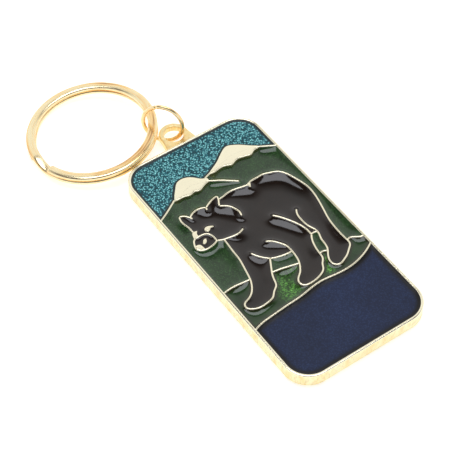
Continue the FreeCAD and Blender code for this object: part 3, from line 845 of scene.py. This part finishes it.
def wire_material(name, colours, fineness, groove):
    """Gold plating on drawn wire: warm and dark streaks and fine scratches that run along the wire."""
    material, tree, shader, place = new_material(name)
    along = attribute(tree, "wire", "Vector")
    streak = noise(tree, along, fineness, 3.0, 0.6)
    scratch = noise(tree, along, fineness * SCRATCH_FINENESS, 2.0, 0.6)
    tint = ramp(tree, streak, [(0.35, tuple(colours.wire_dark)), (0.44, tuple(colours.wire_warm)),
                               (0.55, tuple(colours.wire))])
    worn = ramp(tree, noise(tree, place, WIRE_WEAR, 2.0), [(0.35, (1.0, 0.93, 0.84)), (0.65, WHITE)])
    slow = bump(tree, streak, groove)
    set_inputs(tree, shader, {
        "Base Color": blend_colour(tree, 1.0, tint, worn, "MULTIPLY"),
        "Metallic": 1.0,
        "Roughness": map_range(tree, scratch, *NOISE_SPAN, *WIRE_ROUGHNESS),
        "Normal": bump(tree, scratch, groove * SCRATCH_DEPTH, 1.0, slow),
    })
    return material


def sky_material(name, colours):
    """Teal enamel closely set with pale grains, with a dark smooth margin beside the metal: flakeless there,
    and darkened with painted shade.
    """
    material, tree, shader, place = new_material(name)
    body, flake = tuple(colours.sky), tuple(colours.sky_flake)
    grains = cells(tree, place, SKY_GRAIN, 0.9)
    grain = ramp(tree, grains["Distance"], [(0.16, flake), (0.34, shade(flake, 0.66)),
                                            (0.48, shade(body, 2.4)), (0.70, shade(body, 0.8))])
    dull = ramp(tree, cell_number(tree, grains), [(0.0, (0.60, 0.68, 0.72)), (1.0, WHITE)])
    mixed = blend_colour(tree, 1.0, grain, dull, "MULTIPLY")
    # Painted shade: beside the metal the sky takes its dark, flakeless margin colour.
    shown = clear_of_margin_shade(tree, *SKY_MARGIN)
    strength = map_range(tree, shown, 0.0, 1.0, 0.05, 1.0)
    set_inputs(tree, shader, {
        "Base Color": blend_colour(tree, shown, tuple(colours.sky_margin_shade), mixed),
        "Roughness": SKY_ROUGHNESS,
        "Specular IOR Level": 0.35,
        "Normal": bump(tree, grains["Distance"], -SKY_GRAIN_HEIGHT, strength),
    })
    return material


def gloss_enamel_material(name, body, flake_size, sparkle, peel):
    """Plain gloss enamel: slow changes of depth in its colour, a faint fine flake and some orange peel."""
    material, tree, shader, place = new_material(name)
    tone = uneven_tone(tree, noise(tree, place, GLOSS_DEPTH, 3.0), body, 0.75, 1.3)
    number = cell_number(tree, cells(tree, place, flake_size, 1.0))
    glint = map_range(tree, number, GLINT_FROM, 1.0, 0.0, sparkle)
    finish = noise(tree, place, GLOSS_FINISH, 2.0)
    set_inputs(tree, shader, {
        "Base Color": blend_colour(tree, glint, tone, shade(body, GLINT_BRIGHTNESS)),
        "Roughness": map_range(tree, finish, *NOISE_SPAN, *GLOSS_ROUGHNESS),
        "Normal": bump(tree, noise(tree, place, GLOSS_PEEL, 1.0), peel),
    })
    return material


def lake_material(name, colours):
    """Navy enamel with a faint fine pebbling, darker and less blue beside the metal with painted shade."""
    material, tree, shader, place = new_material(name)
    pebbles = cells(tree, place, LAKE_PEBBLE, 0.8)["Distance"]
    tone = uneven_tone(tree, noise(tree, place, LAKE_DEPTH, 3.0), tuple(colours.lake), 0.8, 1.25)
    speck = ramp(tree, pebbles, [(0.1, (1.7, 1.7, 1.5)), (0.6, (0.75, 0.75, 0.8))])
    mixed = blend_colour(tree, 1.0, tone, speck, "MULTIPLY")
    # Painted shade: beside the metal the lake takes its near-black margin colour.
    shown = clear_of_margin_shade(tree, *LAKE_MARGIN)
    set_inputs(tree, shader, {
        "Base Color": blend_colour(tree, shown, tuple(colours.lake_margin_shade), mixed),
        "Roughness": map_range(tree, shown, 0.0, 1.0, *LAKE_ROUGHNESS),
        "Specular IOR Level": 0.28,
        "Normal": bump(tree, pebbles, -LAKE_PEBBLE_HEIGHT),
    })
    return material


def meadow_material(name, colours):
    """Dark green gloss enamel with a few patches of painted sparkle, where its flake is painted bright as if
    lit, and with painted shade, olive and darker, beside the metal.
    """
    material, tree, shader, place = new_material(name)
    flake = tuple(colours.meadow_flake)
    number = cell_number(tree, cells(tree, place, MEADOW_FLAKE, 1.0))
    flakes = ramp(tree, number, [(0.0, shade(flake, 0.10)), (0.40, shade(flake, 0.22)),
                                 (0.70, shade(flake, 0.50)), (0.92, flake)])
    depth = noise(tree, place, MEADOW_DEPTH, 3.0)
    plain = uneven_tone(tree, depth, tuple(colours.meadow), 0.7, 1.5)
    # Painted sparkle: in the patches the flake shows bright, as if the light caught it.
    tint = blend_colour(tree, attribute(tree, "patch"), plain, flakes)
    # Painted shade: beside the metal the meadow takes its darker olive margin colour.
    shown = clear_of_margin_shade(tree, *MEADOW_MARGIN)
    set_inputs(tree, shader, {
        "Base Color": blend_colour(tree, shown, tuple(colours.meadow_margin_shade), tint),
        "Roughness": MEADOW_ROUGHNESS,
        "Normal": bump(tree, depth, MEADOW_RIPPLE_HEIGHT),
    })
    return material


def floor_material(colours):
    """Plain pale matt floor with the faintest unevenness and a slight glow of its own."""
    material, tree, shader, place = new_material("pale_floor")
    cloud = noise(tree, place, FLOOR_CLOUDS, 2.0)
    set_inputs(tree, shader, {
        "Base Color": uneven_tone(tree, cloud, tuple(colours.floor), 0.99, 1.0),
        "Roughness": FLOOR_ROUGHNESS,
        "Specular IOR Level": 0.1,
        "Emission Color": (*WHITE, 1.0),
        "Emission Strength": FLOOR_GLOW,
    })
    return material


# Pieces --------------------------------------------------------------------------------------------

def slab_shell(casting):
    """The slab with its rim and recess: a profile of inset and height carried round a rounded rectangle.

    The profile runs from the back, round its edge, up the wall, over the rim and down to the recess floor,
    and a flat face closes each end. At each corner the inset shrinks the corner's own radius.
    """
    back, crown = casting.back_rounding, casting.rim_crown
    half_rim = RIM_WIDTH / 2
    floor_edge = RIM_WIDTH + 0.3 * MM
    over = np.radians(np.linspace(180, 0, 15))
    profile = np.concatenate([
        [[2.0 * back, 0.0]],
        arc((back, back), back, 270, 180, 7),
        np.stack([np.zeros(6), np.linspace(back, TOP - crown, 7)[1:]], 1),
        np.stack([half_rim + half_rim * np.cos(over), TOP - crown + crown * np.sin(over)], 1)[1:],
        [[RIM_WIDTH, RECESS_FLOOR], [floor_edge, RECESS_FLOOR]],
    ])
    outline = rounded_rectangle(HALF_WIDTH, HALF_LENGTH, casting.corner_radius, 25, 60)
    out = -side_of(outline, closed=True)
    plan = outline[None] - profile[:, None, :1] * out[None]
    height = np.broadcast_to(profile[:, 1, None, None], plan.shape[:2] + (1,))
    return tube_shell(np.concatenate([plan, height], 2))


def ridge_shell(points, casting):
    """One raised line: a straight-sided profile with a rounded top, carried along its smooth centre line.

    At a free end the plan closes as a half circle, and the top sinks by the same share of its crown.
    """
    path = smooth_path(points, LINE_SPACING)
    side = side_of(path)
    half = casting.line_width / 2
    most_closed, fullness = 0.98, 0.8
    run = np.concatenate([[0], np.cumsum(np.hypot(*np.diff(path, axis=0).T))])
    to_end = np.minimum(run, run[-1] - run)
    closing = np.clip(1 - to_end / half, 0, most_closed)
    narrow = np.sqrt(1 - closing ** 2)
    turn = np.radians(np.linspace(180, 0, 11))
    across = np.concatenate([[-half], half * np.cos(turn), [half]])
    crown = np.concatenate([[0], np.sin(turn) ** fullness, [0]])
    up = np.concatenate([[RECESS_FLOOR], TOP - casting.line_crown * (1 - crown[1:-1]), [RECESS_FLOOR]])
    plan = path[:, None, :] + side[:, None, :] * (narrow[:, None] * across[None, :])[:, :, None]
    height = up[None, :] - (1 - narrow[:, None]) * casting.line_crown * (up > RECESS_FLOOR)[None, :]
    return tube_shell(np.concatenate([plan, height[:, :, None]], 2))


def area_shell(middle, runs, casting, fluted):
    """A solid area: its outline drawn in towards its middle in rings, over a rounded shoulder to a low dome.

    The wall below the shoulder is fluted along the lower edge of a snow cap, as a fine cosine wave in the
    outline, which fades out where the edge turns away from straight down.
    """
    outline = area_outline(runs, AREA_SPACING)
    centre = np.array(middle) * MM
    dome_rise = 0.012 * MM
    if np.cross(outline[0] - centre, outline[1] - centre) < 0:
        outline = outline[::-1]
    out = -side_of(outline, closed=True)
    run = np.cumsum(np.hypot(*(outline - np.roll(outline, 1, 0)).T))
    wave = np.cos(2 * np.pi * run / casting.flute_pitch) - 1
    lower = np.clip(-out[:, 1] * 3 - 0.6, 0, 1) if fluted else np.zeros(len(outline))
    flutes = casting.flute_depth / 2 * wave * lower
    breadth = np.hypot(*(outline - centre).T)
    shoulder = np.minimum(casting.area_crown, 0.45 * breadth.min())
    turn = np.radians(np.linspace(0, 90, 7))
    inset = np.concatenate([[0, 0], shoulder * (1 - np.cos(turn[1:]))])
    drop = np.concatenate([[TOP - RECESS_FLOOR, shoulder], shoulder * (1 - np.sin(turn[1:]))])
    fluting = np.concatenate([[1, 1], np.linspace(0.8, 0.1, 6)])
    fluted_out = (fluting[:, None] * flutes)[:, :, None] * out
    rings = outline[None] - out[None] * inset[:, None, None] + fluted_out
    heights = np.repeat((TOP - dome_rise - drop)[:, None], len(outline), 1)
    shrink = np.array([0.75, 0.5, 0.25, 0.06])
    inner = centre + shrink[:, None, None] * (rings[-1] - centre)[None]
    dome = np.repeat((TOP - dome_rise * shrink ** 2)[:, None], len(outline), 1)
    plan = np.concatenate([rings, inner])
    height = np.concatenate([heights, dome])
    height[0] = RECESS_FLOOR
    return tube_shell(np.concatenate([plan, height[:, :, None]], 2))


def lug_shell(casting):
    """The cast lug: a rounded section between its hole and its outline, carried round the hole.

    The outline is the further of the eye's circle and the flared foot's sides along each bearing, softened by
    three rounds of averaging.
    """
    turn = full_turn(180)
    parallel = 1e-12
    direction = np.stack([np.cos(turn), np.sin(turn)], 1)
    neck_drop, buried = 0.3 * MM, 0.5 * MM
    edge = HALF_LENGTH - casting.lug_centre
    root = edge - buried
    neck = (casting.lug_radius, -neck_drop)
    foot = np.array([neck, (casting.lug_foot, edge), (casting.lug_foot, root)])
    outline = np.concatenate([foot, foot[::-1] * (-1, 1)])
    reach = np.full(len(turn), casting.lug_radius)
    for first, second in zip(outline, np.roll(outline, -1, 0)):
        along = second - first
        across = direction[:, 0] * along[1] - direction[:, 1] * along[0]
        across = np.where(np.abs(across) < parallel, parallel, across)
        far = (first[0] * along[1] - first[1] * along[0]) / across
        share = (first[0] * direction[:, 1] - first[1] * direction[:, 0]) / across
        hit = (far > 0) & (share >= 0) & (share <= 1)
        reach = np.where(hit, np.maximum(reach, far), reach)
    for _ in range(3):
        reach = (np.roll(reach, 1) + 2 * reach + np.roll(reach, -1)) / 4
    low, high, r = casting.lug_low, casting.lug_high, casting.lug_rounding
    inner = 0.25 * MM
    corners = [((-r, high - r), r, 90, 0, "out"), ((-r, low + r), r, 0, -90, "out"),
               ((inner, low + inner), inner, 270, 180, "in"), ((inner, high - inner), inner, 180, 90, "in")]
    rings = []
    for centre, radius, start, end, side in corners:
        for across, up in arc(centre, radius, start, end, 7):
            base = reach if side == "out" else casting.lug_hole
            plan = direction * np.reshape(base + across, (-1, 1))
            rings.append(np.column_stack([plan, np.full(len(turn), up)]))
    return tube_shell(np.array(rings) + (0, casting.lug_centre, 0), wrap_path=True)


def turned(points, axis_from, axis_to, centre):
    """Points turned so that one direction lies along another, then moved to a centre."""
    turn = np.array(Vector(axis_from).rotation_difference(Vector(axis_to)).to_matrix())
    return points @ turn.T + np.array(centre)


def wire_places(length_along, across, up):
    """Where each point lies on its wire: its length along, shrunk to draw streaks out, across it and up."""
    stretch = 0.07
    along = np.broadcast_to(length_along[:, None] * stretch, across.shape)
    return np.stack([along, across, up], -1).reshape(-1, 3)


def jump_ring_shell(rings):
    """Round wire carried round a circle from one side of its butt gap to the other, its cut ends eased."""
    wire = rings.jump_wire / 2
    half_gap = rings.jump_gap / 2
    turn = np.linspace(half_gap, 2 * np.pi - half_gap, 161) + rings.jump_gap_turn
    ease = 0.07 * MM
    from_end = np.minimum(turn - turn[0], turn[-1] - turn) * rings.jump_radius
    radius = wire - ease * np.clip(1 - from_end / ease, 0, 1) ** 2
    round_wire = full_turn(32)
    reach = rings.jump_radius + radius[:, None] * np.cos(round_wire)
    points = np.stack([reach * np.cos(turn)[:, None], reach * np.sin(turn)[:, None],
                       radius[:, None] * np.sin(round_wire)], -1)
    axis = (math.cos(rings.jump_elevation) * math.cos(rings.jump_bearing),
            math.cos(rings.jump_elevation) * math.sin(rings.jump_bearing),
            math.sin(rings.jump_elevation))
    points = turned(points, (0, 0, 1), axis, (JUMP_LOW + JUMP_HIGH) / 2)
    places = wire_places(turn * rings.jump_radius, radius[:, None] * np.cos(round_wire),
                         radius[:, None] * np.sin(round_wire))
    return tube_shell(points), places


def split_ring_shell(rings):
    """Oval wire carried nearly twice round a circle: |across|^n + |up|^n = 1, stretched to its own size.

    Its height is half a wire up for the first turn, falls along half a cosine through the step, and is
    half a wire down for the second turn. The cut ends are a little eased.
    """
    half_width, half_height = rings.split_width / 2, rings.split_height / 2
    mean = rings.split_radius - half_width
    half_step = rings.split_step_angle / 2
    start = rings.split_step + half_step + rings.split_end_gap
    end = rings.split_step - half_step - rings.split_end_gap + 4 * np.pi
    turn = np.linspace(start, end, 721)
    through = np.clip((turn - (rings.split_step - half_step + 2 * np.pi)) / rings.split_step_angle, 0, 1)
    lift = half_height * np.cos(np.pi * through)
    round_wire = full_turn(48)
    power = 2 / rings.split_squareness
    section = np.stack([
        half_width * np.sign(np.cos(round_wire)) * np.abs(np.cos(round_wire)) ** power,
        half_height * np.sign(np.sin(round_wire)) * np.abs(np.sin(round_wire)) ** power,
    ], 1)
    ease = 0.12 * MM
    from_end = np.minimum(turn - turn[0], turn[-1] - turn) * mean
    eased_share = 0.16
    shrink = 1 - eased_share * np.clip(1 - from_end / ease, 0, 1) ** 2
    reach = mean + shrink[:, None] * section[None, :, 0]
    points = np.stack([reach * np.cos(turn)[:, None], reach * np.sin(turn)[:, None],
                       lift[:, None] + shrink[:, None] * section[None, :, 1]], -1)
    tilt, low = rings.split_tilt, rings.split_low_side
    axis = (math.sin(tilt) * math.cos(low), math.sin(tilt) * math.sin(low), math.cos(tilt))
    across = np.broadcast_to(section[None, :, 0], points.shape[:2])
    up = np.broadcast_to(section[None, :, 1], points.shape[:2])
    places = wire_places(turn * mean, across, up)
    return tube_shell(turned(points, (0, 0, 1), axis, RING_MOUNT["pos_m"])), places


class KEYCHAIN_OT_casting(bpy.types.Operator):
    """Makes the plated casting: the slab with its rim, the raised lines, the solid areas and the lug."""
    bl_idname = "keychain.casting"
    bl_label = "Casting"

    def execute(self, context):
        casting = context.scene.keychain_casting
        colours = context.scene.keychain_colours
        plated = casting_material("plated_casting", colours.polished, colours.plating, colours.plating_warm,
                                  wave=0.06 * MM, pits=0.006 * MM)
        slab = make_piece("slab_and_rim", [slab_shell(casting)], "plate", plated,
                          ["cast_plate"])
        sharpen(slab, 50)
        ridges = [ridge_shell(points, casting) for points in LINES.values()]
        lines = make_piece("raised_lines", ridges, "plate", plated)
        sharpen(lines, 60)
        shells = []
        for name, (middle, runs) in AREAS.items():
            shells.append(area_shell(middle, runs, casting, name.endswith("snow_cap")))
        areas = make_piece("solid_areas", shells, "plate", plated)
        sharpen(areas, 60)
        # Painted reflection, partly: the lug's own oranger plating stands for the warm glow of gold reflected
        # in gold round its hole.
        lug_glow_plating = casting_material("plated_lug", colours.lug, colours.lug, colours.lug_warm,
                                  wave=0.03 * MM, pits=0.003 * MM)
        make_piece("lug", [lug_shell(casting)], "plate", lug_glow_plating)
        return {"FINISHED"}


class KEYCHAIN_OT_enamel(bpy.types.Operator):
    """Makes the eight enamel fills, each dished between the metal lines round it."""
    bl_idname = "keychain.enamel"
    bl_label = "Enamel fills"

    def execute(self, context):
        sizes = context.scene.keychain_enamel
        casting = context.scene.keychain_casting
        colours = context.scene.keychain_colours
        step = sizes.grid_step
        over = 0.3 * MM
        xs = np.arange(-RECESS_HALF_WIDTH - over, RECESS_HALF_WIDTH + over, step)
        ys = np.arange(-RECESS_HALF_LENGTH - over, RECESS_HALF_LENGTH + over, step)
        distance, wetting = metal_distance(xs, ys, casting, sizes.cap_wetting)
        labels = fill_labels(xs, ys, distance, sizes.tuck)
        dishes = np.array([METAL_DISH, *FILL_DISHES.values()]) * MM
        drop, reach = dishes[labels, 0], dishes[labels, 1]
        rise = meniscus_rise(distance, wetting, step, reach, RISE_ROUNDS)
        across, along = np.meshgrid(xs / MM, ys / MM)
        uneven = sizes.waviness * slow_waves(across, along) * (1 - rise)
        heights = TOP - drop + (drop - sizes.edge_drop) * rise + uneven
        # The margin carries the painted shade of each fill beside the metal.
        margin = np.exp(-np.maximum(distance, 0) / reach)
        # The patch carries the painted sparkle of the meadow.
        patch = painted_sparkle_patches(across, along)
        materials = {
            "sky_enamel": sky_material("teal_flake_enamel", colours),
            "hill_enamel": gloss_enamel_material("dark_green_enamel", tuple(colours.hill), HILL_FLAKE,
                                                 sparkle=0.35, peel=0.006 * MM),
            "meadow_enamel": meadow_material("green_flake_enamel", colours),
            "bear_enamel": gloss_enamel_material("black_enamel", tuple(colours.bear), BEAR_FLAKE,
                                                 sparkle=0.15, peel=0.004 * MM),
            "lake_enamel": lake_material("navy_enamel", colours),
        }
        for number, node in enumerate(FILLS, 1):
            points, faces, source = prism_shell(labels == number, xs, ys, heights, RECESS_FLOOR)
            slot = FILL_SLOTS[node]
            fill = make_piece(node.replace("_enamel", "_fill"), [(points, [faces])], "plate",
                              materials[slot], [node],
                              {"margin": margin.ravel()[source], "patch": patch.ravel()[source]})
            sharpen(fill, 60)
        return {"FINISHED"}


class KEYCHAIN_OT_jump_ring(bpy.types.Operator):
    """Makes the jump ring, a round wire closed with a butt gap."""
    bl_idname = "keychain.jump_ring"
    bl_label = "Jump ring"

    def execute(self, context):
        plated = wire_material("plated_jump_wire", context.scene.keychain_colours,
                               fineness=1300.0, groove=0.02 * MM)
        shell, places = jump_ring_shell(context.scene.keychain_rings)
        ring = make_piece("jump_ring_wire", [shell], "jump_ring", plated, ["jump_ring"],
                          {"wire": places})
        sharpen(ring, 50)
        return {"FINISHED"}


class KEYCHAIN_OT_split_ring(bpy.types.Operator):
    """Makes the split ring, one oval wire wound nearly twice round."""
    bl_idname = "keychain.split_ring"
    bl_label = "Split ring"

    def execute(self, context):
        plated = wire_material("plated_split_wire", context.scene.keychain_colours,
                               fineness=900.0, groove=0.05 * MM)
        shell, places = split_ring_shell(context.scene.keychain_rings)
        ring = make_piece("split_ring_wire", [shell], "split_ring", plated, ["split_ring"],
                          {"wire": places})
        sharpen(ring, 50)
        return {"FINISHED"}


def overhead_softbox(place, bearing):
    """A rectangular soft light at a place, facing down and turned to a bearing."""
    light = bpy.data.lights.new("overhead_softbox", "AREA")
    light.shape = "RECTANGLE"
    light.size, light.size_y = SOFTBOX_SIZE
    light.energy = SOFTBOX_POWER
    light.color = SOFTBOX_TINT
    lamp = bpy.data.objects.new("overhead_softbox", light)
    lamp.location = place
    lamp.rotation_euler = (0, 0, bearing)
    bpy.context.scene.collection.objects.link(lamp)


def studio_world(dark_side):
    """A pale surround with one dark patch, high up round the given direction."""
    world = bpy.data.worlds.new("pale_studio")
    world.use_nodes = True
    tree = world.node_tree
    tree.nodes.clear()
    direction = tree.nodes.new("ShaderNodeTexCoord").outputs["Generated"]
    facing = add_node(tree, "ShaderNodeVectorMath", {0: direction, 1: dark_side}, operation="DOT_PRODUCT")
    tone = ramp(tree, facing.outputs["Value"], [(at, (grey, grey, grey)) for at, grey in DARK_PATCH_GREYS])
    background = add_node(tree, "ShaderNodeBackground", {"Color": tone, "Strength": 1.0})
    add_node(tree, "ShaderNodeOutputWorld", {"Surface": background.outputs[0]})
    bpy.context.scene.world = world


class KEYCHAIN_OT_stage(bpy.types.Operator):
    """Makes the pale floor, the softbox, the surround and the camera."""
    bl_idname = "keychain.stage"
    bl_label = "Stage"

    def execute(self, context):
        scene = context.scene
        mesh = bpy.data.meshes.new("floor")
        square = [(-1, -1), (1, -1), (1, 1), (-1, 1)]
        corners = [(FLOOR_REACH * x, FLOOR_REACH * y, -FLOOR_CLEARANCE) for x, y in square]
        mesh.from_pydata(corners, [], [(0, 1, 2, 3)])
        mesh.materials.append(floor_material(scene.keychain_colours))
        floor = bpy.data.objects.new("floor", mesh)
        scene.collection.objects.link(floor)

        bearing, elevation = math.radians(CAMERA_BEARING), math.radians(CAMERA_ELEVATION)
        away = Vector((math.sin(bearing) * math.cos(elevation), -math.cos(bearing) * math.cos(elevation),
                       math.sin(elevation)))
        camera = bpy.data.cameras.new("studio_camera")
        camera.lens = CAMERA_LENS
        camera.clip_start = 0.01
        viewer = bpy.data.objects.new("studio_camera", camera)
        viewer.location = Vector(CAMERA_AIM) + away * CAMERA_DISTANCE
        viewer.rotation_euler = (-away).to_track_quat("-Z", "Y").to_euler()
        scene.collection.objects.link(viewer)
        scene.camera = viewer

        level = Vector((away.x, away.y, 0)).normalized()
        overhead_softbox(Vector((0, 0, SOFTBOX_HEIGHT)) - SOFTBOX_BEYOND * level, bearing)
        lean = math.radians(DARK_PATCH_LEAN)
        studio_world(math.sin(lean) * level + Vector((0, 0, math.cos(lean))))
        scene.view_settings.view_transform = "Standard"
        return {"FINISHED"}


class KEYCHAIN_PT_panel(bpy.types.Panel):
    """Lists the keychain's makers and the sizes and colours that they read."""
    bl_idname = "KEYCHAIN_PT_panel"
    bl_label = "Enamelled Keychain"
    bl_space_type = "VIEW_3D"
    bl_region_type = "UI"
    bl_category = "Keychain"

    def draw(self, context):
        layout = self.layout
        for maker in MAKERS:
            layout.operator(maker.bl_idname)
        for group in GROUPS:
            values = getattr(context.scene, group)
            for key in values.__annotations__:
                layout.prop(values, key)


GROUPS = {
    "keychain_casting": KeychainCastingSizes,
    "keychain_enamel": KeychainEnamelSizes,
    "keychain_rings": KeychainRingSizes,
    "keychain_colours": KeychainColours,
}
MAKERS = [
    KEYCHAIN_OT_casting, KEYCHAIN_OT_enamel, KEYCHAIN_OT_jump_ring, KEYCHAIN_OT_split_ring,
    KEYCHAIN_OT_stage
]


def register():
    """Adds the makers, their panel and the values that they read."""
    for kind in [*GROUPS.values(), *MAKERS, KEYCHAIN_PT_panel]:
        bpy.utils.register_class(kind)
    for name, group in GROUPS.items():
        setattr(bpy.types.Scene, name, bpy.props.PointerProperty(type=group))


def unregister():
    """Takes away what register added."""
    for name in GROUPS:
        delattr(bpy.types.Scene, name)
    for kind in reversed([*GROUPS.values(), *MAKERS, KEYCHAIN_PT_panel]):
        bpy.utils.unregister_class(kind)


def main():
    """Makes every piece and the stage."""
    register()
    bpy.ops.keychain.casting()
    bpy.ops.keychain.enamel()
    bpy.ops.keychain.jump_ring()
    bpy.ops.keychain.split_ring()
    bpy.ops.keychain.stage()


if __name__ == "__main__":
    main()
